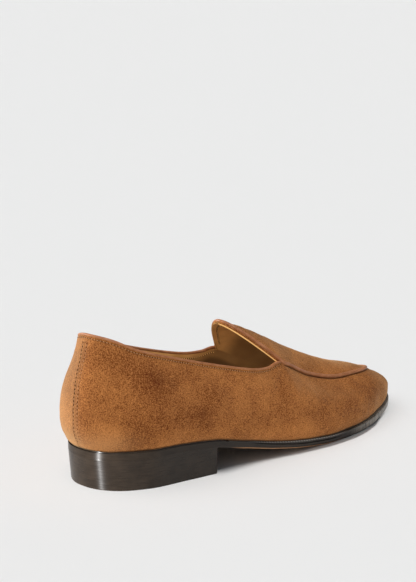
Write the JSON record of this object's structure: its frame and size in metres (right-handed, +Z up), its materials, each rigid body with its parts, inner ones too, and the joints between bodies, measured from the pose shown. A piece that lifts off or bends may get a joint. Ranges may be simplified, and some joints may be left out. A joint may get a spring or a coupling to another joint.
{
  "type": "loafer",
  "caption": "Slip-on suede loafer for the right foot: hollow upper with piped apron and tongue, bound collar, insole, welt, leather outsole and low block heel.",
  "frame": {"origin": "on the floor, at the middle of the shoe's bounding box", "axes": "+X from heel to toe, +Y to the inner side of the foot, +Z up; heel and forefoot stand on Z = 0"},
  "size_m": [0.2872, 0.0992, 0.0964],
  "materials": {
    "suede": "tan suede with a short nap",
    "trim_leather": "smooth satin red-brown calf",
    "insole_leather": "smooth ochre lining leather",
    "welt_leather": "dark stained edge, satin",
    "sole_leather": "dark stained edge, satin",
    "heel_leather": "dark stained stacked heel, polished"
  },
  "bodies": {
    "root": {"upper": "suede", "apron_piping": "trim_leather", "collar_binding": "trim_leather", "insole": "insole_leather", "welt": "welt_leather", "outsole": "sole_leather", "heel": "heel_leather"}
  },
  "joints": []
}
